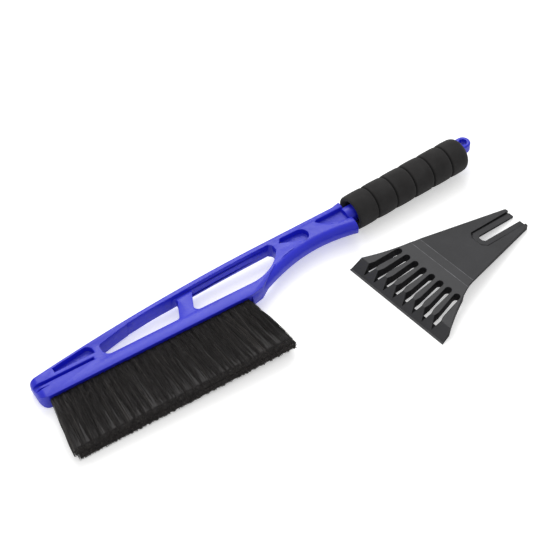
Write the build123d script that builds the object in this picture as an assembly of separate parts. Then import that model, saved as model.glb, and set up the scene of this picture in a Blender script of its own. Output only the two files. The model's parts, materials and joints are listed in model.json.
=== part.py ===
from build123d import *

# Windshield ice scraper: a snow brush with a foam grip, and a loose scraper head.
#
# Units are millimetres. The brush is drawn in its own frame: x runs along the bristle
# rail from the tip to the grip, y runs across it from the bristles to the back edge,
# and z = 0 is the middle plane of the moulding. The scraper head is drawn in its own
# frame too: x runs from the blade edge to the fork, y across, z up from the floor.
# Both are then laid on the floor (z = 0), the brush on its grip and its tip, the head
# beside it. The origin is the centre of the floor area that the set covers.
import os
from math import atan2, degrees, pi, sin

os.makedirs("parts", exist_ok=True)

# ---------------------------------------------------------- driving sizes: the moulding
BODY_T = 16.0            # thickness of the blue moulding
HALF_T = BODY_T / 2
TIP_X = -8.0             # front end of the moulding
TIP_ROUND = 6.5          # rounding of the front end, top and bottom
TIP_NEAR_R = 9.0         # near corner of the front end, seen from above
TIP_BACK_R = 3.0         # its back corner
RAIL_W = 11.7            # width of the rail that holds the bristles
RAIL_END_X = 210.0       # where the rail's near wall stops, at the heel
HEEL_L, HEEL_RISE = 12.0, 2.4    # the rail's last stretch slants away from the bristles
NECK_L = 112.0           # from the heel to the neck's end face
NECK_END_X = RAIL_END_X + NECK_L
NECK_END_Y = 16.6        # near corner of the neck's end face
NECK_ROUND = 7.0         # rounding of the neck's near side
# The neck's near side, as distances from the heel and from the rail's near wall.
NECK_NEAR = [(-12.5, -1.9), (9.0, 6.0), (40.0, 16.8), (72.0, 21.4), (102.0, 19.0)]
NECK_LIP = 2.0           # the neck's end face flares out by this at the back edge
NECK_LIP_L = 9.0         # over this length

# The curved back edge is a circle through three points, then runs straight along the neck.
BACK_TIP_Y = 23.5
BACK_MID_X, BACK_MID_Y = 110.0, 38.5
BACK_END_X, BACK_END_Y = RAIL_END_X + 37.0, 46.4
BACK_NECK_Y = 48.0       # back edge at the end of the neck
RIM_W = 4.4              # width of the rim along the back edge
WEB_T = 6.6              # thickness of the strut where it meets the rim
LEDGE_W = 0.8            # strip of thin web left along the rim inside the windows

# Two windows with a leaning strut between them.
STRUT_X, STRUT_W = 131.2, 14.8   # where the strut's left side meets the rail, and its width
STRUT_LEAN = 0.46        # sideways lean of the strut, per mm across
WINDOW_X0 = 59.0         # left end of the first window
WINDOW_X1 = RAIL_END_X + 33.0    # right end of the second
WINDOW_LEFT_DROP = 4.0   # the first window's left end lies this far below the rim
WINDOW_MID_X = 98.0      # the first window's far side touches the rim here
WINDOW_BEND_X = RAIL_END_X - 5.0     # the second window's near side turns up along the neck
WINDOW_BEND_MID = (RAIL_END_X + 19.0, 18.7)
WINDOW_RIGHT_Y = 32.5
FIRST_ROUNDS = (6.5, 3.0, 4.5, 3.5)  # corners: left near, left far, right near, right far
SECOND_ROUNDS = (4.5, 2.5, 3.0, 4.0)

# Blind pockets, cut from both faces.
POCKET_DEPTH = 6.0
TIP_POCKET_X0, TIP_POCKET_X1 = 14.8, 52.8
TIP_POCKET_RIM = 2.2     # width of the rim beside it
TIP_POCKET_WALL = 3.4    # width of the wall between it and the groove
TIP_POCKET_ROUND = 5.5
NECK_POCKET_X0, NECK_POCKET_L = RAIL_END_X + 39.5, 29.0
NECK_POCKET_R = 7.0      # its round right end
NECK_POCKET_BEVEL = (3.5, 4.2)
RECESS_X0 = RAIL_END_X + 80.5    # the shallow recess that runs on to the grip
RECESS_DEPTH = 5.0
RECESS_NEAR_Y = 28.0

# Grooves in both faces of the tip, which take the scraper head's fork.
SLOT_W = 3.0
SLOT_DEPTH = 4.3
SLOT_Y = 15.0
SLOT_END_X = 49.5
SLOT_MOUTH_W = 5.0       # the grooves widen to this at the front end
SLOT_MOUTH_X = 6.0       # and are back to their own width here
NICK_W, NICK_DEPTH, NICK_LEN = 1.8, 2.5, 12.0    # short pointed nick beside each groove
NICK_Y = 10.6

# ------------------------------------------------------------ driving sizes: bristles
BRISTLE_X0 = 2.0         # bristle field along the rail, at its root
BRISTLE_X1 = RAIL_END_X - 14.0
BRISTLE_LEN = 60.5       # free length of the bristles
SPREAD_TIP = 8.0         # how far the field spreads past its root towards the tip
SPREAD_HEEL = 5.0        # and towards the grip
TUFTS_PER_ROW = 26
ROW_GAP = 4.6            # distance between the two rows of holes
ROW_SHIFTS = {"upper": 0.25, "lower": 0.75}  # stagger of the rows, in pitches
HOLE_R = 1.7             # radius of a tuft hole
HOLE_WALL = 2.7          # wall left between a hole's bottom and the windows
HOLE_DEPTH = RAIL_W - HOLE_WALL
TUFT_CLEAR = 0.05        # radial clearance of a tuft in its hole
TUFT_SIDE_GAP = 0.3      # gap between neighbouring tufts at their free ends
TUFT_TOP = 9.3           # height of the upper row's free ends above the middle plane
TUFT_BOTTOM = 7.6        # depth of the lower row's free ends below the middle plane
ANCHOR_T = 0.4           # anchor plate that a tuft is folded round: thickness
ANCHOR_W = 1.6           # its width along the hole
ANCHOR_L = 3.0           # its length across the hole
ANCHOR_LIFT = 0.5        # its distance from the hole's bottom

# ---------------------------------------------------------------- driving sizes: grip
GRIP_R = 17.0            # radius of the foam grip
GRIP_LEN = 132.0
GRIP_END_ROUND = 7.0     # rounding of the grip's far end
GRIP_FRONT_ROUND = 1.5
GRIP_BULGES = 6          # bulges along the grip, with a groove between each two
GROOVE_DEPTH = 1.3
GROOVE_W = 6.0
GRIP_YAW = 3.35          # the grip leans this many degrees from the rail, towards the back
CORE_STUB = 5.0          # the foam starts this far behind the neck's end face
GRIP_FRONT_X, GRIP_FRONT_Y = NECK_END_X + CORE_STUB, 38.2
CORE_R = 8.0             # radius of the moulded core inside the foam
CORE_BED = 2.0           # how far the core reaches into the neck
CORE_OUT = 0.2           # the core ends this far past the foam
LUG_R = 7.2              # hanging lug at the grip's end
LUG_T = 10.0
LUG_ROUND = 1.5
LUG_HOLE_R = 3.7
LUG_OUT = 8.0            # distance of the hole from the core's end face
LUG_SIDE = 5.6           # distance of the hole from the grip's axis, towards the back

# -------------------------------------------------------- driving sizes: scraper head
HEAD_L = 158.0           # blade edge to fork ends
EDGE_HALF = 58.2         # half width at the blade edge
SHOULDER_X, SHOULDER_HALF = 11.3, 55.2
WAIST_MID_X, WAIST_MID_HALF = 36.5, 42.2
WAIST_X, WAIST_HALF = 58.0, 34.2
FORK_HALF = 14.2         # half width at the fork ends
EDGE_T = 0.9             # thickness of the blade edge
STRIP_X = 1.5            # width of the thin strip along the blade edge
STRIP_T = 1.2            # its thickness where the slope starts
RAMP_X1 = 11.3           # the slope up to the ribs ends here
RIB_H = 11.0             # height of the ribs at the slope's end
BEND_X0, BEND_X1 = 53.0, 62.1    # the two creases across the plate
BEND_TOP = 17.0          # height of the plate's top face between the creases
PLATE_T = 3.4            # thickness of the plate at the creases
FORK_T = 5.0             # thickness of the plate at the fork ends
RIB_ZONE_X1 = 44.5       # rear end of the ribbed zone
RIB_STEP_L = 1.5         # length of the slope from the ribs' underside to the plate's
RIB_T = 9.4              # thickness of the ribs behind the slope
FOOT_X1, FOOT_STEP_L = 11.3, 4.5     # the blade's flat underside ends here, and its rise
SLOT_COUNT = 8
SLOT_X0, SLOT_X1 = 10.8, 42.0    # through slots between the ribs
SLOT_FRONT_PITCH, SLOT_REAR_PITCH = 12.05, 10.15
SLOT_FRONT_W = 8.0       # width of a slot at the slope's end, where the ribs are pointed
SLOT_WAIST_X, SLOT_WAIST_W = 16.3, 5.4   # its narrowest place
SLOT_REAR_W = 6.4        # its width at the round rear end
SLOT_SHIFT = 1.0         # the slots' front ends sit this far towards the brush's side
POINT_X0 = 3.2           # the slots run out to a point here, in the slope
POINT_FLOOR = 1.0        # blade strip left under the pointed front end of each slot
NOTCH_L = 49.2           # depth of the fork's notch
FORK_CLEAR = 0.3         # clearance of the notch over the wall between the grooves, each side
LEDGE_CLEAR = 0.2        # clearance of the fork's ledges in the grooves, each side
STEP_OUT = 2.8           # the fork's thick part stays this far off the moulding's faces
STEP_RIM = 6.5           # width of the thin rim at the bottom of the notch
LEDGE_LIFT = 0.4         # height of the ledges above the fork's underside
LEDGE_GROOVE_W, LEDGE_GROOVE_DEPTH = 1.1, 1.2    # groove that parts them from the thick fork
STEP_CHAMFER, NOTCH_CHAMFER = 4.5, 2.0
TINE_ROUND = 2.0

# -------------------------------------------------------------------- how they lie
HEAD_X, HEAD_Y = 305.9, -64.0    # middle of the blade edge, from the brush's own origin
HEAD_YAW = 9.06                  # direction of the head from the rail, degrees

FAR = 400.0              # longer than any piece
PAST = 5.0               # how far a cutter runs past the face that it opens


def prism(sketch, z0, z1):
    """Extrude a sketch on the XY plane from height z0 to height z1."""
    return extrude(Pos(0, 0, z0) * sketch, amount=z1 - z0)


def face_of(*edges):
    """Face enclosed by edges that run end to end."""
    return make_face(Wire.combine(edges)[0].edges())


def chain(*points):
    """Straight edges from each point to the next."""
    return [Line(a, b) for a, b in zip(points, points[1:])]


def nearest(sketch, corner):
    """The vertex of a sketch that lies where this corner was."""
    return min(sketch.vertices(), key=lambda v: (v.center() - corner.center()).length)


def round_corners(sketch, corners, radii):
    """Round several corners of a sketch, each to its own radius."""
    for corner, radius in zip(corners, radii):
        sketch = fillet(nearest(sketch, corner), radius)
    return sketch


def both_faces(cutter):
    """The same cutter on the moulding's top face and on its bottom face."""
    return cutter + mirror(cutter, about=Plane.XY)


# ------------------------------------------------------------------ handle frame
def back_edge_y(x):
    """The curved back edge at x, as the parabola through its three points."""
    slope_a = (BACK_MID_Y - BACK_TIP_Y) / (BACK_MID_X - TIP_X)
    slope_b = (BACK_END_Y - BACK_MID_Y) / (BACK_END_X - BACK_MID_X)
    bend = (slope_b - slope_a) / (BACK_END_X - TIP_X)
    if x > BACK_END_X:
        share = (x - BACK_END_X) / (NECK_END_X - BACK_END_X)
        return BACK_END_Y + share * (BACK_NECK_Y - BACK_END_Y)
    return BACK_TIP_Y + slope_a * (x - TIP_X) + bend * (x - TIP_X) * (x - BACK_MID_X)


def below_back(x, inset=RIM_W):
    """Point at x that lies this far inside the back edge."""
    return (x, back_edge_y(x) - inset)


def arc_below_back(x0, x1, inset):
    """Arc that follows the back edge from x0 to x1, this far inside it."""
    return ThreePointArc(
        below_back(x0, inset), below_back((x0 + x1) / 2, inset), below_back(x1, inset)
    )


def main_plate():
    """Tip, rail, strut and rim as one slab, with the front end rounded over."""
    inside_neck = [(RAIL_END_X + 25, 20), (NECK_END_X - 30, 34)]
    back_corner_y = back_edge_y(TIP_X + TIP_BACK_R)
    diagonal = 1 - sin(pi / 4)
    edges = chain(
        (TIP_X + TIP_NEAR_R, 0),
        (RAIL_END_X - HEEL_L, 0),
        (RAIL_END_X, HEEL_RISE),
        *inside_neck,
        below_back(NECK_END_X - 30, 0),
        (BACK_END_X, BACK_END_Y),
    )
    edges += [
        ThreePointArc(
            (BACK_END_X, BACK_END_Y), (BACK_MID_X, BACK_MID_Y), (TIP_X + TIP_BACK_R, back_corner_y)
        ),
        ThreePointArc(
            (TIP_X + TIP_BACK_R, back_corner_y),
            (TIP_X + TIP_BACK_R * diagonal, back_corner_y - TIP_BACK_R * diagonal),
            (TIP_X, back_corner_y - TIP_BACK_R),
        ),
        Line((TIP_X, back_corner_y - TIP_BACK_R), (TIP_X, TIP_NEAR_R)),
        ThreePointArc(
            (TIP_X, TIP_NEAR_R),
            (TIP_X + TIP_NEAR_R * diagonal, TIP_NEAR_R * diagonal),
            (TIP_X + TIP_NEAR_R, 0),
        ),
    ]
    slab = prism(face_of(*edges), -HALF_T, HALF_T)
    side = Pos(TIP_X + FAR, 0) * RectangleRounded(2 * FAR, BODY_T, min(TIP_ROUND, 0.9 * HALF_T))
    return slab & extrude(Plane.XZ * side, amount=FAR, both=True)


def neck():
    """Neck between rail and grip, rounded over along its near side."""
    near_points = [(RAIL_END_X + dx, y) for dx, y in NECK_NEAR]
    near = Spline(*near_points, (NECK_END_X, NECK_END_Y), tangents=[(1, 0.25), (1, -0.35)])
    back_x0 = BACK_END_X + 8
    rest = chain(
        (NECK_END_X, NECK_END_Y),
        (NECK_END_X, BACK_NECK_Y + NECK_LIP),
        (NECK_END_X - NECK_LIP_L, BACK_NECK_Y),
        below_back(back_x0, 0),
        (RAIL_END_X - HEEL_L, RAIL_W),
        near_points[0],
    )
    slab = prism(face_of(near, *rest), -HALF_T, HALF_T)
    near_edges = [e for e in slab.edges() if e.geom_type == GeomType.BSPLINE]
    return fillet(near_edges, min(NECK_ROUND, 0.9 * HALF_T))


def strut_side(x, far_y):
    """Where a side of the leaning strut, which starts at x on the rail, reaches far_y."""
    return (x + STRUT_LEAN * (far_y - RAIL_W), far_y)


def first_window():
    """Outline of the window between the tip and the strut."""
    inset = RIM_W + LEDGE_W
    far_right = strut_side(STRUT_X, back_edge_y(STRUT_X + STRUT_W) - inset)
    far_left = below_back(WINDOW_X0, RIM_W + WINDOW_LEFT_DROP)
    sketch = face_of(
        *chain(far_left, (WINDOW_X0, RAIL_W), (STRUT_X, RAIL_W), far_right),
        ThreePointArc(far_right, below_back(WINDOW_MID_X), far_left),
    )
    corners = sketch.vertices().sort_by(Axis.X)
    left, right = corners[:2].sort_by(Axis.Y), corners[2:].sort_by(Axis.Y)
    return round_corners(sketch, [*left, *right], FIRST_ROUNDS)


def second_window():
    """Outline of the window between the strut and the neck."""
    inset = RIM_W + LEDGE_W
    near_x = STRUT_X + STRUT_W
    far_left = strut_side(near_x, back_edge_y(near_x + 12) - inset)
    far_right = below_back(WINDOW_X1, inset)
    bend_end = (WINDOW_X1, WINDOW_RIGHT_Y)
    sketch = face_of(
        *chain(far_left, (near_x, RAIL_W), (WINDOW_BEND_X, RAIL_W)),
        ThreePointArc((WINDOW_BEND_X, RAIL_W), WINDOW_BEND_MID, bend_end),
        Line(bend_end, far_right),
        ThreePointArc(far_right, below_back((far_left[0] + WINDOW_X1) / 2, inset), far_left),
    )
    corners = sketch.vertices().sort_by(Axis.X)
    right = corners[-2:].sort_by(Axis.Y)
    return round_corners(sketch, [corners[0], corners[1], *right], SECOND_ROUNDS)


def strut_slope():
    """Wedge that leaves the strut thick at the rail and thin where it meets the rim."""
    x0, x1 = WINDOW_MID_X - 8, WINDOW_X1 - 3
    rim_y = back_edge_y(x1) - RIM_W
    plan = face_of(
        *chain(below_back(x0), (x0, RAIL_W), (WINDOW_BEND_X - 8, RAIL_W)),
        *chain((WINDOW_BEND_X - 8, RAIL_W), (x1, WINDOW_RIGHT_Y + 1), below_back(x1)),
        arc_below_back(x1, x0, RIM_W),
    )
    slope = Polygon(
        (RAIL_W, HALF_T),
        (rim_y, WEB_T / 2),
        (rim_y + PAST, WEB_T / 2),
        (rim_y + PAST, BODY_T),
        (RAIL_W, BODY_T),
        align=None,
    )
    return prism(plan, 0, BODY_T) & extrude(Plane.YZ * slope, amount=FAR)


def pocket(sketch, depth=POCKET_DEPTH):
    """Blind pocket cut to a depth from the top face."""
    return prism(sketch, HALF_T - depth, HALF_T + PAST)


def tip_pocket():
    """Long pocket between the groove and the rim, pointed at the tip and round at its end."""
    x0, x1 = TIP_POCKET_X0, TIP_POCKET_X1
    base = SLOT_Y + SLOT_W / 2 + TIP_POCKET_WALL
    sketch = face_of(
        *chain(below_back(x0, TIP_POCKET_RIM), (x0, base), (x1, base)),
        Line((x1, base), below_back(x1, TIP_POCKET_RIM)),
        arc_below_back(x1, x0, TIP_POCKET_RIM),
    )
    corner = sketch.vertices().sort_by(lambda v: v.X + v.Y)[-1]
    return pocket(fillet(corner, TIP_POCKET_ROUND))


def neck_pocket():
    """Half-moon pocket behind the second window."""
    x0, top = below_back(NECK_POCKET_X0)
    round_x = x0 + NECK_POCKET_L - NECK_POCKET_R
    bevel_l, bevel_h = NECK_POCKET_BEVEL
    sketch = face_of(
        *chain((x0, top - bevel_h), (x0 + bevel_l, top), (round_x, top)),
        ThreePointArc(
            (round_x, top),
            (round_x + NECK_POCKET_R, top - NECK_POCKET_R),
            (round_x, top - 2 * NECK_POCKET_R),
        ),
        Line((round_x, top - 2 * NECK_POCKET_R), (x0, top - bevel_h)),
    )
    return pocket(sketch)


def long_recess():
    """Shallow recess that runs along the neck on to the grip."""
    x0, x1 = RECESS_X0, GRIP_FRONT_X
    top0, top1 = back_edge_y(x0) - RIM_W, back_edge_y(NECK_END_X) - RIM_W
    sketch = make_face(
        Polyline(
            (x0 + 4, top0 - 6),
            (x0, top0 - 1.5),
            (x0 + 2, top0),
            (x1, top1),
            (x1, RECESS_NEAR_Y),
            (x0 + 14, RECESS_NEAR_Y + 2),
            close=True,
        ).edges()
    )
    return pocket(sketch, RECESS_DEPTH)


def fork_grooves():
    """Groove in the tip's top face, with a wide mouth, and the short nick beside it."""
    front_x = TIP_X - PAST
    low, high = SLOT_Y - SLOT_W / 2, SLOT_Y + SLOT_W / 2
    groove = Polygon(
        (front_x, SLOT_Y - SLOT_MOUTH_W / 2),
        (SLOT_MOUTH_X, low),
        (SLOT_END_X, low),
        (SLOT_END_X, high),
        (SLOT_MOUTH_X, high),
        (front_x, SLOT_Y + SLOT_MOUTH_W / 2),
        align=None,
    )
    nick = Polygon(
        (front_x, NICK_Y - NICK_W / 2),
        (TIP_X, NICK_Y - NICK_W / 2),
        (TIP_X + NICK_LEN, NICK_Y),
        (TIP_X, NICK_Y + NICK_W / 2),
        (front_x, NICK_Y + NICK_W / 2),
        align=None,
    )
    return pocket(groove, SLOT_DEPTH) + pocket(nick, NICK_DEPTH)


# Grip: these pieces lie along the grip's own axis, which starts at the foam's front face.
GRIP = Pos(GRIP_FRONT_X, GRIP_FRONT_Y, 0) * Rot(0, 0, GRIP_YAW)
CORE_END = GRIP_LEN + CORE_OUT


def along_grip(x0, x1, radius):
    """Cylinder on the grip's axis from x0 to x1."""
    return GRIP * (Pos(x0, 0, 0) * Rot(0, 90, 0)) * extrude(Circle(radius), amount=x1 - x0)


def lug():
    """Flat hanging lug with a hole, behind the foam's end face."""
    hole_x = CORE_END + LUG_OUT
    low, high = LUG_SIDE - LUG_R, LUG_SIDE + LUG_R
    outline = face_of(
        *chain((hole_x, high), (CORE_END, high), (CORE_END, low), (hole_x, low)),
        ThreePointArc((hole_x, low), (hole_x + LUG_R, LUG_SIDE), (hole_x, high)),
    )
    plate = prism(outline, -LUG_T / 2, LUG_T / 2)
    rims = plate.edges().filter_by(lambda e: abs(abs(e.center().Z) - LUG_T / 2) < 0.01)
    rims = rims.filter_by(lambda e: e.center().X > CORE_END + 0.01)
    hole = Pos(hole_x, LUG_SIDE, 0) * Cylinder(LUG_HOLE_R, LUG_T * 2)
    return GRIP * (fillet(rims, LUG_ROUND) - hole)


def row_heights():
    """Height of each row of holes above the middle plane."""
    return {"upper": ROW_GAP / 2, "lower": -ROW_GAP / 2}


def tuft_places(row):
    """Root x and free-end x of each tuft of a row, and the pitch of the free ends."""
    shift = ROW_SHIFTS[row]
    root_pitch = (BRISTLE_X1 - BRISTLE_X0) / TUFTS_PER_ROW
    free_x0 = BRISTLE_X0 - SPREAD_TIP
    free_pitch = (BRISTLE_X1 + SPREAD_HEEL - free_x0) / TUFTS_PER_ROW
    places = []
    for i in range(TUFTS_PER_ROW):
        places.append((BRISTLE_X0 + (i + shift) * root_pitch, free_x0 + (i + shift) * free_pitch))
    return places, free_pitch


def facing_out(x, y, z):
    """Plane across a tuft: its x is the rail's x, its y is up, and it faces the free end."""
    return Plane(origin=(x, y, z), x_dir=(1, 0, 0), z_dir=(0, -1, 0))


def tuft_holes():
    """Blind holes in the rail's near wall, one for each tuft."""
    holes = []
    for row, z in row_heights().items():
        for root_x, _ in tuft_places(row)[0]:
            disc = facing_out(root_x, HOLE_DEPTH, z) * Circle(HOLE_R)
            holes.append(extrude(disc, amount=HOLE_DEPTH + PAST))
    return holes


def handle_frame():
    """The whole blue moulding: tip, rail, windows, neck, grip core and hanging lug."""
    body = main_plate() + neck()
    for window in (first_window(), second_window()):
        body -= prism(window, -BODY_T, BODY_T)
    for cutter in (strut_slope(), tip_pocket(), neck_pocket(), long_recess(), fork_grooves()):
        body -= both_faces(cutter)
    body += along_grip(-CORE_STUB - CORE_BED, CORE_END, CORE_R)
    body += lug()
    return body - tuft_holes()


def foam_grip():
    """Foam sleeve with a bore for the core and shallow grooves between its bulges."""
    pitch = GRIP_LEN / GRIP_BULGES
    front_r = GRIP_R - GRIP_FRONT_ROUND
    end_round = min(GRIP_END_ROUND, 0.9 * (GRIP_R - CORE_R))
    lines = chain((GRIP_LEN, GRIP_R - end_round), (GRIP_LEN, CORE_R), (0, CORE_R), (0, front_r))
    lines.append(RadiusArc((0, front_r), (GRIP_FRONT_ROUND, GRIP_R), GRIP_FRONT_ROUND))
    x = GRIP_FRONT_ROUND
    for i in range(1, GRIP_BULGES):
        g0, g1 = i * pitch - GROOVE_W / 2, i * pitch + GROOVE_W / 2
        lines.append(Line((x, GRIP_R), (g0, GRIP_R)))
        lines.append(ThreePointArc((g0, GRIP_R), (i * pitch, GRIP_R - GROOVE_DEPTH), (g1, GRIP_R)))
        x = g1
    lines.append(Line((x, GRIP_R), (GRIP_LEN - end_round, GRIP_R)))
    lines.append(RadiusArc((GRIP_LEN - end_round, GRIP_R), (GRIP_LEN, GRIP_R - end_round), end_round))
    return GRIP * revolve(face_of(*lines), Axis.X)


def anchor(root_x, z):
    """Metal plate pressed across the bottom of a hole, which the tuft is folded round."""
    y = HOLE_DEPTH - ANCHOR_LIFT - ANCHOR_W / 2
    return Pos(root_x, y, z) * Box(ANCHOR_L, ANCHOR_W, ANCHOR_T)


def tuft(root_x, free_x, free_w, z, z0, z1):
    """One bundle of bristles: round in its hole, fanned out to a rectangle at its free end."""
    section = Circle(HOLE_R - TUFT_CLEAR)
    root = extrude(facing_out(root_x, HOLE_DEPTH, z) * section, amount=HOLE_DEPTH)
    free = facing_out(free_x, -BRISTLE_LEN, (z0 + z1) / 2) * Rectangle(free_w, z1 - z0)
    fan = loft([facing_out(root_x, 0, z) * section, free], ruled=True)
    return root + fan - anchor(root_x, z)


def tufts_and_anchors():
    """Both rows of tufts, each tuft a piece of its own, and each row's anchor plates."""
    parts = {}
    half_gap = TUFT_SIDE_GAP / 2
    spans = {"upper": (half_gap, TUFT_TOP), "lower": (-TUFT_BOTTOM, -half_gap)}
    for row, z in row_heights().items():
        places, pitch = tuft_places(row)
        z0, z1 = spans[row]
        for number, (root_x, free_x) in enumerate(places, start=1):
            parts[f"tuft_{row}_{number:02d}"] = tuft(root_x, free_x, pitch - TUFT_SIDE_GAP, z, z0, z1)
        parts[f"tuft_anchors_{row}"] = Compound([anchor(root_x, z) for root_x, _ in places])
    return parts


# ------------------------------------------------------------------ scraper head
def head_outline():
    """The head seen from above: blade edge, waisted sides, tapered fork."""
    half = face_of(
        *chain((HEAD_L, FORK_HALF), (HEAD_L, 0), (0, 0), (0, EDGE_HALF)),
        Line((0, EDGE_HALF), (SHOULDER_X, SHOULDER_HALF)),
        ThreePointArc(
            (SHOULDER_X, SHOULDER_HALF), (WAIST_MID_X, WAIST_MID_HALF), (WAIST_X, WAIST_HALF)
        ),
        Line((WAIST_X, WAIST_HALF), (HEAD_L, FORK_HALF)),
    )
    sketch = half + mirror(half, about=Plane.XZ)
    ends = sketch.vertices().filter_by(lambda v: v.X > HEAD_L - 0.1 and abs(v.Y) > FORK_HALF - 0.1)
    return fillet(ends, TINE_ROUND)


def top_at(x):
    """Height of the plate's top face, from the slope's end to the fork."""
    if x <= BEND_X0:
        return RIB_H + (BEND_TOP - RIB_H) * (x - RAMP_X1) / (BEND_X0 - RAMP_X1)
    return BEND_TOP + (FORK_T - BEND_TOP) * (x - BEND_X1) / (HEAD_L - BEND_X1)


def underside_at(x):
    """Height of the plate's underside between the creases and the fork's ends."""
    return (BEND_TOP - PLATE_T) * (HEAD_L - x) / (HEAD_L - BEND_X1)


def head_profile():
    """Side view of the head: blade strip, ribbed zone, creased plate, fork."""
    zone_top = top_at(RIB_ZONE_X1)
    return Polygon(
        (0, 0),
        (FOOT_X1, 0),
        (FOOT_X1 + FOOT_STEP_L, top_at(FOOT_X1 + FOOT_STEP_L) - RIB_T),
        (RIB_ZONE_X1, zone_top - RIB_T),
        (RIB_ZONE_X1 + RIB_STEP_L, zone_top - PLATE_T),
        (BEND_X0, BEND_TOP - PLATE_T),
        (BEND_X1, BEND_TOP - PLATE_T),
        (HEAD_L, 0),
        (HEAD_L, FORK_T),
        (BEND_X1, BEND_TOP),
        (BEND_X0, BEND_TOP),
        (RAMP_X1, RIB_H),
        (STRIP_X, STRIP_T),
        (0, EDGE_T),
        align=None,
    )


def slot_y(number, x):
    """Middle line of a slot: the slots fan out towards the blade edge."""
    place = number - (SLOT_COUNT - 1) / 2
    share = (x - POINT_X0) / (SLOT_X1 - POINT_X0)
    pitch = SLOT_FRONT_PITCH + (SLOT_REAR_PITCH - SLOT_FRONT_PITCH) * share
    return place * pitch + SLOT_SHIFT * (1 - share)


def slot_cutters(number):
    """Waisted through slot with a round rear end, and the pointed cut in front of it."""
    rear_x = SLOT_X1 - SLOT_REAR_W / 2
    front, rear = slot_y(number, RAMP_X1), slot_y(number, rear_x)
    half_f, half_r = SLOT_FRONT_W / 2, SLOT_REAR_W / 2
    waist, half_w = slot_y(number, SLOT_WAIST_X), SLOT_WAIST_W / 2
    mouth = slot_y(number, SLOT_X0)
    half_m = half_f * (SLOT_X0 - POINT_X0) / (RAMP_X1 - POINT_X0)
    through = face_of(
        *chain(
            (rear_x, rear + half_r),
            (SLOT_WAIST_X, waist + half_w),
            (RAMP_X1, front + half_f),
            (SLOT_X0, mouth + half_m),
            (SLOT_X0, mouth - half_m),
            (RAMP_X1, front - half_f),
            (SLOT_WAIST_X, waist - half_w),
            (rear_x, rear - half_r),
        ),
        ThreePointArc((rear_x, rear - half_r), (SLOT_X1, rear), (rear_x, rear + half_r)),
    )
    point = Polygon(
        (POINT_X0, slot_y(number, POINT_X0)),
        (RAMP_X1, front - half_f),
        (RAMP_X1, front + half_f),
        align=None,
    )
    ceiling = BEND_TOP + PAST
    return prism(through, -PAST, ceiling) + prism(point, POINT_FLOOR, ceiling)


def notch(x0, half, chamfer_size):
    """Notch from x0 to past the fork's ends, with its two inner corners cut off."""
    return Polygon(
        (x0, -half + chamfer_size),
        (x0 + chamfer_size, -half),
        (HEAD_L + PAST, -half),
        (HEAD_L + PAST, half),
        (x0 + chamfer_size, half),
        (x0, half - chamfer_size),
        align=None,
    )


def scraper_head():
    """The whole head: creased plate with ribs and slots in front and a stepped fork behind."""
    outline = prism(head_outline(), -PAST, BEND_TOP + PAST)
    solid = extrude(Plane.XZ * head_profile(), amount=EDGE_HALF + PAST, both=True) & outline
    for number in range(SLOT_COUNT):
        solid -= slot_cutters(number)

    # The fork: a wide notch, with a thin ledge left round a narrow one inside it.
    wide_x, wide_half = HEAD_L - NOTCH_L - STEP_RIM, HALF_T + STEP_OUT
    narrow_half = HALF_T - SLOT_DEPTH + FORK_CLEAR
    wide = prism(notch(wide_x, wide_half, STEP_CHAMFER), -PAST, BEND_TOP)
    narrow = prism(notch(HEAD_L - NOTCH_L, narrow_half, NOTCH_CHAMFER), -PAST, BEND_TOP)
    ledge_t = SLOT_W - 2 * LEDGE_CLEAR
    ledge_profile = Polygon(
        (wide_x, underside_at(wide_x) + LEDGE_LIFT),
        (HEAD_L, LEDGE_LIFT),
        (HEAD_L, LEDGE_LIFT + ledge_t),
        (wide_x, underside_at(wide_x) + LEDGE_LIFT + ledge_t),
        align=None,
    )
    ledge = extrude(Plane.XZ * ledge_profile, amount=EDGE_HALF, both=True) & wide & outline
    inner_half = wide_half - LEDGE_GROOVE_W
    inner = prism(notch(wide_x + LEDGE_GROOVE_W, inner_half, STEP_CHAMFER), -PAST, BEND_TOP)
    lift = Pos(0, 0, ledge_t - LEDGE_GROOVE_DEPTH)
    groove = lift * extrude(Plane.XZ * ledge_profile, amount=EDGE_HALF, both=True) & wide - inner
    return solid - wide + (ledge - groove) - narrow


# ------------------------------------------------------------------ lay out and write
def build():
    """All nodes in the set's own frame, with the middle of the floor area at the origin."""
    brush = {"handle_frame": handle_frame(), "foam_grip": foam_grip()}
    brush.update(tufts_and_anchors())
    tilt = degrees(atan2(GRIP_R - HALF_T, GRIP_FRONT_X - TIP_X - TIP_ROUND))
    lean = Rot(0, -tilt, 0)
    rests_on = Compound([lean * brush["handle_frame"], lean * brush["foam_grip"]])
    place = Pos(0, 0, -rests_on.bounding_box().min.Z) * lean
    nodes = {name: place * shape for name, shape in brush.items()}
    head_place = Pos(HEAD_X, HEAD_Y, 0) * Rot(0, 0, HEAD_YAW)
    nodes["scraper_head"] = head_place * scraper_head()
    box = Compound(list(nodes.values())).bounding_box()
    centre = Pos(-(box.min.X + box.max.X) / 2, -(box.min.Y + box.max.Y) / 2, -box.min.Z)
    places = {"brush": centre * place, "head": centre * head_place}
    return {name: centre * shape for name, shape in nodes.items()}, places


nodes, places = build()
for name, shape in nodes.items():
    shape.label = name
    export_step(shape, f"parts/{name}.step")
print(len(nodes), "nodes")
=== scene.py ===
# %% [markdown]
# # A windshield ice scraper, finished in Blender
#
# The set is a snow brush and a loose scraper head. The brush is one blue moulding with a
# foam sleeve on its grip and two rows of bristle tufts, and the head is one black moulding.
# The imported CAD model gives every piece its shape, size and place, in metres, so this
# lesson only adds what a CAD model leaves out: softened edges, foam, single bristles,
# finishes, a floor, lights and a camera.

# %% Load the frame
import json
import random
from math import cos, pi, radians, sin, tau

import bpy
import numpy as np
from mathutils import Matrix, Vector, noise

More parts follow.
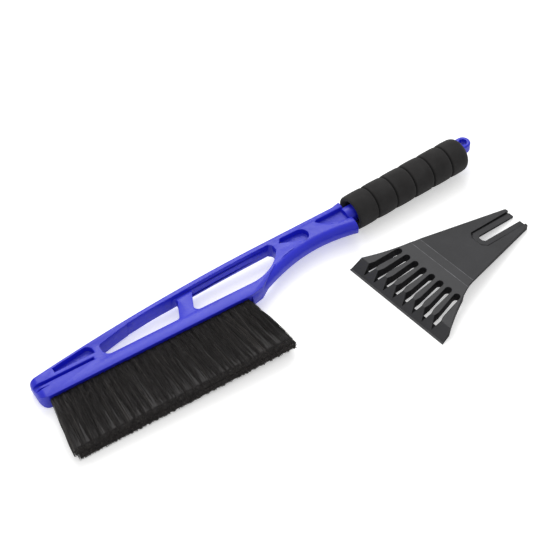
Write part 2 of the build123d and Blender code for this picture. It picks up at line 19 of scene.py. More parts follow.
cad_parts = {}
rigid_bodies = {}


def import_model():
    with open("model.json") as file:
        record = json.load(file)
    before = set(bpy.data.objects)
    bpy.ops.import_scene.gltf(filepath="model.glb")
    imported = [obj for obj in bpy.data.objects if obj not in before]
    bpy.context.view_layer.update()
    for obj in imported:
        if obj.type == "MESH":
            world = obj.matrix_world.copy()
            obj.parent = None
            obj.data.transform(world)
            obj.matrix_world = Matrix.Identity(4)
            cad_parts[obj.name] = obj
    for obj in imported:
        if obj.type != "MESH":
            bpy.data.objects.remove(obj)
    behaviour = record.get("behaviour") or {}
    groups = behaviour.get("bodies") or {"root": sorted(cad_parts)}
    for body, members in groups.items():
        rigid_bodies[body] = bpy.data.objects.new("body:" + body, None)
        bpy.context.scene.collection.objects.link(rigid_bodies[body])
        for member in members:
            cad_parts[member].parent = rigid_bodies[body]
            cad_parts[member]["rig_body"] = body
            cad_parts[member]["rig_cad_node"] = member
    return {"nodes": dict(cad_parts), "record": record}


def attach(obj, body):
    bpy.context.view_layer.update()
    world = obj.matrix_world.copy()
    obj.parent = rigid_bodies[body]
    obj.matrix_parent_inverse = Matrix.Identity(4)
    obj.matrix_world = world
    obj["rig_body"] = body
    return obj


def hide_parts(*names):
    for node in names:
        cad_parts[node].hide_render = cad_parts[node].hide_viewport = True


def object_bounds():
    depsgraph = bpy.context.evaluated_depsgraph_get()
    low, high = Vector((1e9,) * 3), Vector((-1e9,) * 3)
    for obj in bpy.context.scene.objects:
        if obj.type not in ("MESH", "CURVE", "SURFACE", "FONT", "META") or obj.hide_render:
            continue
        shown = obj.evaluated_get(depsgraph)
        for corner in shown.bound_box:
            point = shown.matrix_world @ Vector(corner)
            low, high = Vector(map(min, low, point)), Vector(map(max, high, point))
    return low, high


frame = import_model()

CAD_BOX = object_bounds()
MM = 0.001

# %% [markdown]
# ## Clean hands
#
# An operator acts on whatever is selected, and the loaded nodes all come in selected. These
# two helpers put everything down and pick one object up, which is what a click does in the
# window.

# %% Selection helpers
def put_down():
    """Leave edit mode and deselect everything."""
    if bpy.context.object and bpy.context.object.mode != "OBJECT":
        bpy.ops.object.mode_set(mode="OBJECT")
    bpy.ops.object.select_all(action="DESELECT")


def pick_up(obj):
    """Select this object alone and make it the active one."""
    put_down()
    obj.select_set(True)
    bpy.context.view_layer.objects.active = obj


def settle(obj):
    """Apply the object's place, so that it sits at the origin with its place in its mesh."""
    pick_up(obj)
    bpy.ops.object.transform_apply(location=True, rotation=True, scale=True)


def mount_of(name):
    """Place and direction of one of the record's mounts."""
    mount = next(m for m in frame["record"]["mounts"] if m["name"] == name)
    return Vector(mount["pos_m"]), Vector(mount["axis"]).normalized()


put_down()
print("nothing is selected")

# %% [markdown]
# ## Finishes
#
# Each finish is a small node tree on a Principled shader. Patterns read Object coordinates,
# so they stay on the piece when it moves. Constants are set on the shader's own sockets, and
# only what really varies over the surface, such as colour, roughness and bump, is linked.

# %% Finish helpers
MIX_SHARE, MIX_FIRST, MIX_SECOND = 0, 6, 7    # a Mix node's sockets when it mixes colours
MIX_RESULT = 2


def new_finish(name, roughness, specular=0.5):
    """An empty finish: its node tree and its shader."""
    finish = bpy.data.materials.new(name)
    finish.use_nodes = True
    tree = finish.node_tree
    shader = tree.nodes["Principled BSDF"]
    shader.inputs["Roughness"].default_value = roughness
    shader.inputs["Specular IOR Level"].default_value = specular
    return finish, tree, shader


def object_noise(tree, size, detail=3.0):
    """Noise on Object coordinates, whose lumps are about this many metres across."""
    place = tree.nodes.new("ShaderNodeTexCoord")
    lumps = tree.nodes.new("ShaderNodeTexNoise")
    lumps.inputs["Scale"].default_value = 1.0 / size
    lumps.inputs["Detail"].default_value = detail
    tree.links.new(place.outputs["Object"], lumps.inputs["Vector"])
    return lumps.outputs["Fac"]


def ramp(tree, source, stops):
    """Colour ramp: stops are (position, colour) pairs."""
    node = tree.nodes.new("ShaderNodeValToRGB")
    while len(node.color_ramp.elements) < len(stops):
        node.color_ramp.elements.new(0.5)
    for element, (position, colour) in zip(node.color_ramp.elements, stops):
        element.position = position
        element.color = (*colour, 1.0)
    tree.links.new(source, node.inputs["Fac"])
    return node.outputs["Color"]


def mix(tree, share, first, second):
    """Mix a linked colour with a fixed one, by this share of the second."""
    node = tree.nodes.new("ShaderNodeMix")
    node.data_type = "RGBA"
    node.inputs[MIX_SECOND].default_value = (*second, 1.0)
    tree.links.new(share, node.inputs[MIX_SHARE])
    tree.links.new(first, node.inputs[MIX_FIRST])
    return node.outputs[MIX_RESULT]


def spread(tree, source, low, high):
    """Map the middle part of a noise pattern to the range from low to high."""
    node = tree.nodes.new("ShaderNodeMapRange")
    node.inputs["From Min"].default_value = 0.3
    node.inputs["From Max"].default_value = 0.7
    node.inputs["To Min"].default_value = low
    node.inputs["To Max"].default_value = high
    tree.links.new(source, node.inputs["Value"])
    return node.outputs["Result"]


def add_bump(tree, shader, source, height):
    """Bump of this many metres, on top of any bump that the shader already has."""
    node = tree.nodes.new("ShaderNodeBump")
    node.inputs["Distance"].default_value = height
    node.inputs["Strength"].default_value = 1.0
    tree.links.new(source, node.inputs["Height"])
    normal = shader.inputs["Normal"]
    if normal.links:
        tree.links.new(normal.links[0].from_socket, node.inputs["Normal"])
    tree.links.new(node.outputs["Normal"], normal)

# %% [markdown]
# ### Blue moulding
#
# The handle is injection-moulded polypropylene with the colour mixed in. It has a satin
# gloss from the polished mould, a barely visible waviness where the melt cooled, and fine
# scuffs. A sharp gloss would make it look like glass, so the roughness stays in the middle.

# %% Blue moulding finish
def blue_moulding():
    finish, tree, shader = new_finish("blue_moulding", roughness=0.36, specular=0.5)
    flow = object_noise(tree, 30 * MM, detail=4.0)
    colour = ramp(tree, flow, [(0.3, (0.011, 0.015, 0.55)), (0.7, (0.014, 0.019, 0.62))])
    tree.links.new(colour, shader.inputs["Base Color"])
    scuffs = object_noise(tree, 4 * MM, detail=6.0)
    tree.links.new(spread(tree, scuffs, 0.30, 0.40), shader.inputs["Roughness"])
    add_bump(tree, shader, object_noise(tree, 12 * MM), 0.05 * MM)
    add_bump(tree, shader, object_noise(tree, 0.6 * MM), 0.008 * MM)
    return finish


BLUE = blue_moulding()
print("made", BLUE.name)

# %% [markdown]
# ### Black scraper plastic
#
# The head is a harder, mineral-filled plastic with a fine spark-eroded grain, which scatters
# the light and turns black into a mid dark grey. A thin lighter line is mixed in at each of the
# two creases across the plate, at their distances from the fork's ends: a painted highlight. The
# side walls get a darker finish of their own, which is painted shade.

# %% Scraper plastic finish
FORK_END, HEAD_AXIS = mount_of("fork_notch")
CREASES = (105.0 * MM, 95.9 * MM)    # how far the two creases lie from the fork's ends
CREASE_HALF = 0.28 * MM


def from_fork(tree):
    """Distance of a point from the fork's ends, along the head."""
    place = tree.nodes.new("ShaderNodeTexCoord")
    offset = tree.nodes.new("ShaderNodeVectorMath")
    offset.operation = "SUBTRACT"
    offset.inputs[0].default_value = FORK_END
    along = tree.nodes.new("ShaderNodeVectorMath")
    along.operation = "DOT_PRODUCT"
    along.inputs[1].default_value = HEAD_AXIS
    tree.links.new(place.outputs["Object"], offset.inputs[1])
    tree.links.new(offset.outputs["Vector"], along.inputs[0])
    return along.outputs["Value"]


def crease_highlight_lines(tree, distance, places, half):
    """A mask that is 1 on a thin line at each of these distances and 0 away from them."""
    total = None
    for place in places:
        line = tree.nodes.new("ShaderNodeMath")
        line.operation = "COMPARE"
        line.inputs[1].default_value = place
        line.inputs[2].default_value = half
        tree.links.new(distance, line.inputs[0])
        if total is None:
            total = line.outputs["Value"]
            continue
        both = tree.nodes.new("ShaderNodeMath")
        both.operation = "MAXIMUM"
        tree.links.new(total, both.inputs[0])
        tree.links.new(line.outputs["Value"], both.inputs[1])
        total = both.outputs["Value"]
    return total


def scraper_plastic():
    finish, tree, shader = new_finish("scraper_plastic", roughness=0.5, specular=0.35)
    cloud = object_noise(tree, 25 * MM, detail=5.0)
    base = ramp(tree, cloud, [(0.3, (0.026, 0.026, 0.028)), (0.7, (0.034, 0.034, 0.037))])
    crease_highlight_breakup = object_noise(tree, 5 * MM, detail=3.0)
    mask = tree.nodes.new("ShaderNodeMath")
    mask.operation = "MULTIPLY"
    # Painted highlight: a thin lighter line along each crease, broken up by noise.
    tree.links.new(crease_highlight_lines(tree, from_fork(tree), CREASES, CREASE_HALF), mask.inputs[0])
    tree.links.new(spread(tree, crease_highlight_breakup, 0.25, 0.95), mask.inputs[1])
    with_crease_highlights = mix(tree, mask.outputs["Value"], base, (0.15, 0.15, 0.16))
    tree.links.new(with_crease_highlights, shader.inputs["Base Color"])
    grain = object_noise(tree, 0.7 * MM, detail=4.0)
    tree.links.new(spread(tree, grain, 0.42, 0.56), shader.inputs["Roughness"])
    add_bump(tree, shader, grain, 0.02 * MM)
    return finish


def scraper_walls_painted_shade():
    # Painted shade: the side walls are given a darker colour than the top faces.
    finish, tree, shader = new_finish("scraper_walls_painted_shade", roughness=0.7, specular=0.2)
    cloud = object_noise(tree, 8 * MM, detail=4.0)
    base = ramp(tree, cloud, [(0.3, (0.009, 0.009, 0.011)), (0.7, (0.014, 0.014, 0.016))])
    tree.links.new(base, shader.inputs["Base Color"])
    add_bump(tree, shader, object_noise(tree, 1.2 * MM), 0.03 * MM)
    return finish


BLACK = scraper_plastic()
BLACK_WALLS_PAINTED_SHADE = scraper_walls_painted_shade()
print("made", BLACK.name, "and", BLACK_WALLS_PAINTED_SHADE.name)

# %% [markdown]
# ### Grip foam
#
# The sleeve is closed-cell rubber foam. Its skin is a dense field of tiny open cells, so it
# has almost no gloss, and a little sheen where the view grazes it. The rings in the grooves
# between the bulges are darker, which is painted shade: each corner of the sleeve carries
# its own shade in a mesh attribute, which the finish multiplies in.

# %% Grip foam finish
GROOVE_SHADE = "groove_shade"


def grip_foam():
    finish, tree, shader = new_finish("grip_foam", roughness=0.93, specular=0.25)
    shader.inputs["Sheen Weight"].default_value = 0.04
    shader.inputs["Sheen Roughness"].default_value = 0.5
    patches = object_noise(tree, 14 * MM, detail=6.0)
    colour = ramp(tree, patches, [(0.3, (0.020, 0.019, 0.019)), (0.7, (0.030, 0.029, 0.029))])
    shade = tree.nodes.new("ShaderNodeAttribute")
    shade.attribute_name = GROOVE_SHADE
    # Painted shade: the colour in the grooves is mixed towards near black.
    darker = mix(tree, shade.outputs["Fac"], colour, (0.006, 0.006, 0.006))
    tree.links.new(darker, shader.inputs["Base Color"])
    add_bump(tree, shader, object_noise(tree, 2.2 * MM, detail=2.0), 0.08 * MM)
    add_bump(tree, shader, object_noise(tree, 0.5 * MM, detail=5.0), 0.07 * MM)
    return finish


FOAM = grip_foam()
print("made", FOAM.name)

# %% [markdown]
# ### Bristles and anchor plates
#
# Nylon bristles are nearly black and slightly glossy. No two catch the light alike, so each
# carries its own tone in a mesh attribute, from deep black to a worn brown grey. The anchor
# plates are cut steel strip that only shows if a tuft is pulled out.

# %% Bristle and anchor finishes
TONE = "bristle_tone"


def bristle_nylon():
    finish, tree, shader = new_finish("bristle_nylon", roughness=0.5, specular=0.25)
    tone = tree.nodes.new("ShaderNodeAttribute")
    tone.attribute_name = TONE
    colour = ramp(tree, tone.outputs["Fac"], [
        (0.0, (0.017, 0.015, 0.015)), (0.7, (0.042, 0.038, 0.037)), (0.97, (0.24, 0.22, 0.20)),
    ])
    tree.links.new(colour, shader.inputs["Base Color"])
    return finish


def anchor_steel():
    finish, tree, shader = new_finish("anchor_steel", roughness=0.35)
    shader.inputs["Metallic"].default_value = 1.0
    rolled = object_noise(tree, 0.8 * MM, detail=4.0)
    colour = ramp(tree, rolled, [(0.3, (0.42, 0.42, 0.43)), (0.7, (0.6, 0.6, 0.6))])
    tree.links.new(colour, shader.inputs["Base Color"])
    add_bump(tree, shader, rolled, 0.01 * MM)
    return finish


NYLON = bristle_nylon()
STEEL = anchor_steel()
print("made", NYLON.name, "and", STEEL.name)

# %% [markdown]
# ## The two mouldings
#
# Both mouldings keep their CAD shape, but a CAD edge is perfectly sharp, and no moulded edge
# is: it is rounded by a few tenths of a millimetre and catches a thin line of light. The
# loaded mesh is loose triangles, so a copy is merged, its flat faces are joined up, and a
# Bevel modifier then rounds every edge sharper than a limit.

# %% Softened copies of the mouldings
MERGE = 0.002 * MM
FLAT = radians(0.6)
SIDE_WALL = 0.3    # faces whose normal rises less than this are side walls


def softened(node, name, finish, edge, sharp=radians(28), smooth=radians(40)):
    """Copy of a CAD node whose sharp edges are rounded by edge, standing for the node."""
    piece = frame["nodes"][node].copy()
    piece.data = piece.data.copy()
    piece.name = piece.data.name = name
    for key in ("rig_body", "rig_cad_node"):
        if key in piece:
            del piece[key]
    piece.parent = None
    bpy.context.scene.collection.objects.link(piece)
    pick_up(piece)
    bpy.ops.object.mode_set(mode="EDIT")
    bpy.ops.mesh.select_all(action="SELECT")
    bpy.ops.mesh.customdata_custom_splitnormals_clear()
    bpy.ops.mesh.remove_doubles(threshold=MERGE)
    bpy.ops.mesh.dissolve_limited(angle_limit=FLAT)
    bpy.ops.object.mode_set(mode="OBJECT")
    bevel = piece.modifiers.new("edges", "BEVEL")
    bevel.width = edge
    bevel.segments = 2
    bevel.limit_method = "ANGLE"
    bevel.angle_limit = sharp
    bevel.use_clamp_overlap = False
    bpy.ops.object.modifier_apply(modifier=bevel.name)
    bpy.ops.object.shade_smooth_by_angle(angle=smooth)
    piece.data.materials.clear()
    piece.data.materials.append(finish)
    print(name, "has", len(piece.data.polygons), "faces")
    return piece


handle = softened("handle_frame", "blue_handle", BLUE, edge=0.45 * MM)
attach(handle, "brush")
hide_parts("handle_frame")

head = softened(
    "scraper_head", "black_scraper", BLACK, edge=0.25 * MM, sharp=radians(20), smooth=radians(4)
)
# Faces that rise less than SIDE_WALL take the darker finish, which is painted shade on the side
# walls.
head.data.materials.append(BLACK_WALLS_PAINTED_SHADE)
for face in head.data.polygons:
    face.material_index = int(abs(face.normal.z) < SIDE_WALL)
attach(head, "scraper")
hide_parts("scraper_head")

for node in ("tuft_anchors_upper", "tuft_anchors_lower"):
    plates = frame["nodes"][node]
    plates.data.materials.clear()
    plates.data.materials.append(STEEL)

# %% [markdown]
# ## The foam grip
#
# The sleeve is turned from one block of foam: six soft bulges, a narrow groove between each
# two, and a round far end. It could be a lathe profile, but growing a ring along the grip's
# axis is closer to how one models it by hand: extrude the ring a little further, then scale
# it to the next radius. The axis follows from the rail's own directions, which two of the
# record's mounts give, and the sleeve's front face gives the place to start from.

# %% Where the grip lies
ON_FACE = 0.05 * MM    # corners this close to an end face belong to it


def corners_of(node):
    """A CAD node's corners, each once, as an array."""
    points = np.array([v.co[:] for v in frame["nodes"][node].data.vertices])
    return np.unique(np.round(points, 6), axis=0)


def middle_of(points, across, over):
    """Middle of the points' extent in two directions, as (across, over)."""
    spans = [points @ np.array(direction) for direction in (across, over)]
    return [(span.min() + span.max()) / 2 for span in spans]


GRIP_YAW = radians(3.35)    # how far the grip turns from the rail's direction
RAIL_UP = mount_of("hang_hole")[1]
RAIL_ALONG = -mount_of("tip_grooves")[1]
RAIL_ACROSS = RAIL_UP.cross(RAIL_ALONG)
GRIP_AXIS = RAIL_ALONG * cos(GRIP_YAW) + RAIL_ACROSS * sin(GRIP_YAW)
GRIP_SIDE = RAIL_UP.cross(GRIP_AXIS)

sleeve = corners_of("foam_grip")
along = sleeve @ np.array(GRIP_AXIS)
GRIP_LENGTH = along.max() - along.min()
front_face = sleeve[along < along.min() + ON_FACE]
side, up = middle_of(front_face, GRIP_SIDE, RAIL_UP)
GRIP_START = GRIP_AXIS * along.min() + GRIP_SIDE * side + RAIL_UP * up
from_start = sleeve - np.array(GRIP_START)
from_axis = np.linalg.norm(np.cross(from_start, np.array(GRIP_AXIS)), axis=1)
GRIP_RADIUS, BORE_RADIUS = from_axis.max(), from_axis.min()
print(
    f"grip {GRIP_LENGTH / MM:.1f} mm long,",
    f"radius {GRIP_RADIUS / MM:.2f}, bore {BORE_RADIUS / MM:.2f}",
)

# %% Foam sleeve
BULGES = 6
GROOVE_DEPTH, GROOVE_HALF = 1.5 * MM, 1.5 * MM
CROWN = 0.3 * MM
FAR_ROUND = 7.0 * MM
FRONT_ROUND = 1.8 * MM
FRONT_STEPS, FAR_STEPS = 3, 6
BULGE_SHARES = (0.04, 0.2, 0.5, 0.8, 0.96)    # where the rings of a bulge's crown lie
GROOVE_RINGS = (                              # (place, depth) as shares of a groove's size
    (-1.0, 0.1), (-0.45, 0.55), (-0.12, 1.0), (0.12, 1.0), (0.45, 0.55), (1.0, 0.1),
)


def sleeve_profile():
    """(distance along the axis, radius) of each ring, from the front face to the far one."""
    pitch = GRIP_LENGTH / BULGES
    rings = [(0.0, BORE_RADIUS), (0.0, GRIP_RADIUS - FRONT_ROUND - CROWN)]
    for step in range(1, FRONT_STEPS + 1):
        turn = step / FRONT_STEPS * pi / 2
        rings.append((
            FRONT_ROUND * (1 - cos(turn)),
            GRIP_RADIUS - CROWN - FRONT_ROUND * (1 - sin(turn)),
        ))
    for bulge in range(BULGES):
        start, stop = bulge * pitch, (bulge + 1) * pitch
        first = FRONT_ROUND if bulge == 0 else GROOVE_HALF
        last = FAR_ROUND if bulge == BULGES - 1 else GROOVE_HALF
        for share in BULGE_SHARES:
            x = start + first + share * (pitch - first - last)
            rings.append((x, GRIP_RADIUS - CROWN * (2 * share - 1) ** 2))
        if bulge < BULGES - 1:
            edge = GRIP_RADIUS - CROWN
            for place, depth in GROOVE_RINGS:
                rings.append((stop + place * GROOVE_HALF, edge - depth * GROOVE_DEPTH))
    for step in range(FAR_STEPS + 1):
        turn = step / FAR_STEPS * pi / 2
        x = GRIP_LENGTH - FAR_ROUND * (1 - sin(turn))
        rings.append((x, GRIP_RADIUS - CROWN - FAR_ROUND * (1 - cos(turn))))
    rings.append((GRIP_LENGTH, BORE_RADIUS))
    return rings


def grow_sleeve(name, rings, sides=72):
    """Extrude and scale one ring along the grip, then close the bore."""
    put_down()
    facing = Vector((0, 0, 1)).rotation_difference(GRIP_AXIS).to_euler()
    x, radius = rings[0]
    bpy.ops.mesh.primitive_circle_add(
        vertices=sides, radius=radius, location=GRIP_START, rotation=facing
    )
    piece = bpy.context.object
    piece.name = piece.data.name = name
    settle(piece)
    bpy.ops.object.mode_set(mode="EDIT")
    bpy.ops.mesh.select_all(action="SELECT")
    for next_x, next_radius in rings[1:]:
        step = GRIP_AXIS * (next_x - x)
        bpy.ops.mesh.extrude_region_move(TRANSFORM_OT_translate={"value": step})
        scale = next_radius / radius
        centre = GRIP_START + GRIP_AXIS * next_x
        bpy.ops.transform.resize(value=(scale, scale, scale), center_override=centre)
        x, radius = next_x, next_radius
    bpy.ops.mesh.select_all(action="DESELECT")
    bpy.ops.mesh.select_non_manifold()
    bpy.ops.mesh.bridge_edge_loops()
    bpy.ops.mesh.select_all(action="SELECT")
    bpy.ops.mesh.normals_make_consistent(inside=False)
    bpy.ops.object.mode_set(mode="OBJECT")
    return piece


NEAR_BORE = 1 * MM    # corners this close to the bore stay where they are


def soften_foam(piece, lump=11 * MM, depth=0.16 * MM):
    """Press the outside in a little here and there, as handled foam is."""
    for vertex in piece.data.vertices:
        from_start = vertex.co - GRIP_START
        radial = from_start - GRIP_AXIS * from_start.dot(GRIP_AXIS)
        if radial.length > BORE_RADIUS + NEAR_BORE:
            press = depth * (0.5 + 0.5 * noise.noise(vertex.co / lump))
            vertex.co -= radial.normalized() * press


SHADE_CURVE = 0.7    # below 1, so that the dark band is wide and its edges are soft


# The groove attribute written here drives painted shade in the foam's finish.
def shade_grooves(piece):
    """Write how deep in a groove each corner lies, from 0 to 1, into the piece's attribute."""
    pitch = GRIP_LENGTH / BULGES
    shades = []
    for vertex in piece.data.vertices:
        along = (vertex.co - GRIP_START).dot(GRIP_AXIS)
        nearest = min(max(round(along / pitch), 1), BULGES - 1) * pitch
        shades.append(max(0.0, 1.0 - abs(along - nearest) / GROOVE_HALF) ** SHADE_CURVE)
    attribute = piece.data.attributes.new(GROOVE_SHADE, "FLOAT", "POINT")
    attribute.data.foreach_set("value", shades)


foam = grow_sleeve("foam_sleeve", sleeve_profile())
pick_up(foam)
smooth = foam.modifiers.new("smooth", "SUBSURF")
smooth.levels = smooth.render_levels = 1
bpy.ops.object.modifier_apply(modifier=smooth.name)
soften_foam(foam)
shade_grooves(foam)
bpy.ops.object.shade_smooth()
foam.data.materials.append(FOAM)
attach(foam, "brush")
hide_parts("foam_grip")
print("foam sleeve has", len(foam.data.polygons), "faces")

# %% [markdown]
# ## The bristles
#
# A tuft is a bundle of nylon strands folded in half over an anchor plate, so it leaves its
# hole as a bunch and fans out to its neighbours. Hair systems don't travel well to
# other programs, so each strand is a real, very thin mesh. One strand is modelled by hand
# from a triangle, extruded in short steps, and copied along a path of its own for every
# bristle. A triangle is enough, because a strand is a third of a millimetre thick. The steps
# are short near the root, where a strand bends out of its bundle, and at the very tip, where
# its colour is worn.

# %% One strand
STRAND_RADIUS = 0.19 * MM
STEP_PLACES = (0.0, 0.05, 0.12, 0.25, 0.5, 0.8, 0.975, 1.0)    # shares of a strand's length
STRAND_STEPS = len(STEP_PLACES) - 1
TIP_SCALE = 0.8


def model_strand():
    """A straight strand of unit length along +Z, from a triangle extruded in steps."""
    put_down()
    bpy.ops.mesh.primitive_circle_add(vertices=3, radius=STRAND_RADIUS, fill_type="NGON")
    strand = bpy.context.object
    bpy.ops.object.mode_set(mode="EDIT")
    bpy.ops.mesh.select_all(action="SELECT")
    for step in range(STRAND_STEPS):
        rise = (0, 0, 1 / STRAND_STEPS)
        bpy.ops.mesh.extrude_region_move(TRANSFORM_OT_translate={"value": rise})
    bpy.ops.transform.resize(value=(TIP_SCALE, TIP_SCALE, 1.0), center_override=(0, 0, 1))
    bpy.ops.mesh.select_all(action="SELECT")
    bpy.ops.mesh.normals_make_consistent(inside=False)
    bpy.ops.object.mode_set(mode="OBJECT")
    corners = np.array([v.co[:] for v in strand.data.vertices])
    faces = [tuple(p.vertices) for p in strand.data.polygons]
    bpy.data.objects.remove(strand)
    return corners, faces


STRAND_CORNERS, STRAND_FACES = model_strand()
print("a strand has", len(STRAND_CORNERS), "corners and", len(STRAND_FACES), "faces")

# %% [markdown]
# ### From a strand to a tuft
#
# The CAD tuft tells where its bundle leaves the rail and the rectangle that its free ends
# fill. A strand starts just inside the rail, in a band a little wider than the spacing of
# the holes, so that a row's bundles stand side by side without gaps. It ends somewhere in
# the rectangle, with a weak wave on the way, and a few stray ones lift out of line. Hundreds
# of strands would be needed before no light shines through, so the CAD tuft itself, made a
# little smaller, stays inside the bundle as its dark core. The random numbers are seeded by
# the tuft's number, so every run gives the same brush.

# %% Tufts of strands
STRANDS = 170
HOLE_DEPTH = 9.0 * MM
INSIDE = 1.0 * MM                           # how far inside the rail a strand starts
ROOT_HALF = 3.9 * MM                        # half the width of the band of roots
ROOT_TOP, ROOT_BOTTOM = 2.3 * MM, 2.2 * MM
FAN_SPEED = 3.0                             # higher lets a strand fan out nearer the rail
BLEND = 1.6 * MM                            # how far free ends mix with the next tuft's
TRIM = 0.35 * MM                            # how unevenly the free ends are cut
LIFT = 0.3 * MM                             # how far they pass the row's top and bottom
STRAY_SHARE = 0.035
SWING, STRAY_SWING = 0.25 * MM, 0.9 * MM
CORE_SHORT, CORE_THIN = 1.2 * MM, 0.7 * MM


def tuft_frame(node):
    """Mouth centre, and lowest and highest corner of the free ends' rectangle."""
    points = corners_of(node)
    root = points[points[:, 1] > points[:, 1].max() - ON_FACE]
    free = points[points[:, 1] < points[:, 1].min() + ON_FACE]
    mouth = (root.min(axis=0) + root.max(axis=0)) / 2
    mouth[1] -= HOLE_DEPTH
    return mouth, free.min(axis=0), free.max(axis=0)


def strand_path(dice, mouth, low, high):
    """Points along one strand, from inside the rail to its free end."""
    start = np.array((
        mouth[0] + dice.uniform(-ROOT_HALF, ROOT_HALF),
        mouth[1] + INSIDE,
        mouth[2] + dice.uniform(-ROOT_BOTTOM, ROOT_TOP),
    ))
    end = np.array((
        dice.uniform(low[0] - BLEND, high[0] + BLEND),
        low[1] + dice.uniform(-0.2, 1.0) * TRIM,
        dice.uniform(low[2] - LIFT, high[2] + LIFT),
    ))
    stray = dice.random() < STRAY_SHARE
    if stray:
        sideways, short, lifted = dice.uniform(-4, 4), dice.uniform(0, 3), dice.uniform(-0.5, 1.5)
        end += np.array((sideways, short, lifted)) * MM
    way = np.array(STEP_PLACES)[:, None]
    fan = 1 - (1 - way) ** FAN_SPEED
    lean = np.array(((low[0] + high[0]) / 2 - mouth[0], 0.0, 0.0))
    path = start + lean * way + (end - lean - start) * np.hstack((fan, way, fan))
    waves, phase = dice.uniform(1.0, 2.6), dice.uniform(0, tau)
    swing = (STRAY_SWING if stray else SWING) * way[:, 0]
    path[:, 0] += swing * np.sin(waves * tau * way[:, 0] + phase)
    path[:, 2] += 0.6 * swing * np.cos(waves * tau * way[:, 0] + phase)
    return path


def packed_core(node, low, high):
    """The CAD tuft a little shorter and thinner: the dark inside of the bundle."""
    core = frame["nodes"][node].data
    points = np.array([v.co[:] for v in core.vertices])
    middle = (low[2] + high[2]) / 2
    free = points[:, 1] < low[1] + ON_FACE
    points[free, 1] += CORE_SHORT
    points[free, 2] += np.where(points[free, 2] > middle, -CORE_THIN, CORE_THIN)
    return [points], [tuple(p.vertices) for p in core.polygons], [0.0] * len(points)


def make_tuft(node, name, seed):
    """All strands of one tuft as one piece, standing for its CAD node."""
    dice = random.Random(seed)
    mouth, low, high = tuft_frame(node)
    ring = np.round(STRAND_CORNERS[:, 2] * STRAND_STEPS).astype(int)
    corners, faces, tones = packed_core(node, low, high)
    for strand in range(STRANDS):
        path = strand_path(dice, mouth, low, high)
        body = path[ring]
        body[:, 0] += STRAND_CORNERS[:, 0]
        body[:, 2] += STRAND_CORNERS[:, 1]
        first = len(tones)
        corners.append(body)
        faces += [tuple(first + i for i in face) for face in STRAND_FACES]
        tone = 0.8 * dice.random() ** 1.5
        tip = max(tone, dice.random() ** 2.5)
        tones += [tip if step == STRAND_STEPS else tone for step in ring]
    mesh = bpy.data.meshes.new(name)
    mesh.from_pydata(np.vstack(corners).tolist(), [], faces)
    mesh.attributes.new(TONE, "FLOAT", "POINT").data.foreach_set("value", tones)
    mesh.shade_smooth()
    mesh.materials.append(NYLON)
    piece = bpy.data.objects.new(name, mesh)
    bpy.context.scene.collection.objects.link(piece)
    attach(piece, "brush")
    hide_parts(node)
    return piece


tuft_nodes = sorted(n for n in frame["nodes"] if n.startswith("tuft_") and "anchors" not in n)
tufts = [make_tuft(n, n.replace("tuft", "bristles"), seed) for seed, n in enumerate(tuft_nodes)]
strand_faces = sum(len(t.data.polygons) for t in tufts)
print("made", len(tufts), "tufts with", STRANDS, "strands each,", strand_faces, "faces")

# %% [markdown]
# ## Floor, light and camera
#
# The set lies on a plain pale floor under soft studio light: a wide softbox high behind it,
# which the glossy top faces mirror, a weaker one above it, and a pale surround. Faces that
# look at the camera get less light than those that look up, which shows the shape. The floor
# is a weak light table: it glows a little, and a little more to the camera alone, which
# lifts the shadows without lighting the set from below.

# %% Floor
SHADOW_LIFT = 0.24
TABLE_GLOW = 0.18


def pale_floor():
    finish, tree, shader = new_finish("pale_floor", roughness=0.8, specular=0.2)
    paper = object_noise(tree, 300 * MM, detail=2.0)
    colour = ramp(tree, paper, [(0.3, (0.93, 0.93, 0.925)), (0.7, (0.95, 0.95, 0.945))])
    tree.links.new(colour, shader.inputs["Base Color"])
    rays = tree.nodes.new("ShaderNodeLightPath")
    glow = tree.nodes.new("ShaderNodeMath")
    glow.operation = "MULTIPLY_ADD"
    glow.inputs[1].default_value = SHADOW_LIFT
    glow.inputs[2].default_value = TABLE_GLOW
    tree.links.new(rays.outputs["Is Camera Ray"], glow.inputs[0])
    tree.links.new(glow.outputs["Value"], shader.inputs["Emission Strength"])
    shader.inputs["Emission Color"].default_value = (1.0, 1.0, 1.0, 1.0)
    return finish


FLOOR_SIZE = 8.0
put_down()
bpy.ops.mesh.primitive_plane_add(size=FLOOR_SIZE, location=(0, 0, CAD_BOX[0][2] - 0.1 * MM))
floor = bpy.context.object
floor.name = "floor"
floor.data.materials.append(pale_floor())
settle(floor)

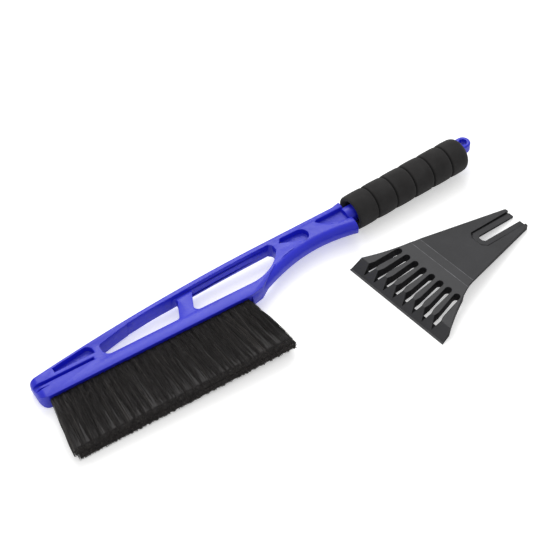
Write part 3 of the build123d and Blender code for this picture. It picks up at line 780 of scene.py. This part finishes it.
# %% Light
VIEW_TURN = radians(32.56)
VIEW_RISE = radians(48.4)
AHEAD = Vector((sin(VIEW_TURN), cos(VIEW_TURN), 0))
SIDE = Vector((cos(VIEW_TURN), -sin(VIEW_TURN), 0))


def looking_back(place, back):
    """Placement of a lamp or camera at a place, with its back turned this way."""
    return Matrix.Translation(place) @ back.to_track_quat("Z", "Y").to_matrix().to_4x4()


def softbox(name, power, size, right, ahead, up):
    """A square area light that faces the middle of the set, placed as the camera sees it."""
    lamp = bpy.data.lights.new(name, "AREA")
    lamp.energy = power
    lamp.size = size
    light = bpy.data.objects.new(name, lamp)
    place = SIDE * right + AHEAD * ahead + Vector((0, 0, up))
    light.matrix_world = looking_back(place, place)
    bpy.context.scene.collection.objects.link(light)


softbox("back_softbox", power=27, size=1.6, right=-0.3, ahead=1.5, up=1.9)
softbox("top_softbox", power=6, size=1.2, right=-0.6, ahead=-0.1, up=2.0)
surround = bpy.data.worlds.new("pale_surround")
surround.use_nodes = True
background = surround.node_tree.nodes["Background"]
background.inputs["Color"].default_value = (1.0, 1.0, 1.0, 1.0)
background.inputs["Strength"].default_value = 0.6
bpy.context.scene.world = surround
bpy.context.scene.view_settings.view_transform = "Standard"

# %% Camera
CAMERA_DISTANCE = 1.35
LENS = 98.18
AIM_OFFSET = Vector((3.7 * MM, 54.1 * MM, 0))

middle = (Vector(CAD_BOX[0]) + Vector(CAD_BOX[1])) / 2
aim = Vector((middle.x, middle.y, CAD_BOX[0][2])) + AIM_OFFSET
camera = bpy.data.objects.new("camera", bpy.data.cameras.new("camera"))
back = -AHEAD * cos(VIEW_RISE) + Vector((0, 0, sin(VIEW_RISE)))
camera.matrix_world = looking_back(aim + back * CAMERA_DISTANCE, back)
camera.data.lens = LENS
camera.data.clip_end = 20.0
bpy.context.scene.collection.objects.link(camera)
bpy.context.scene.camera = camera
print("camera at", [round(c, 3) for c in camera.matrix_world.translation])

# %% [markdown]
# ## Last step
#
# Everything is put down, so that nothing is left selected.

# %% Put everything down
put_down()
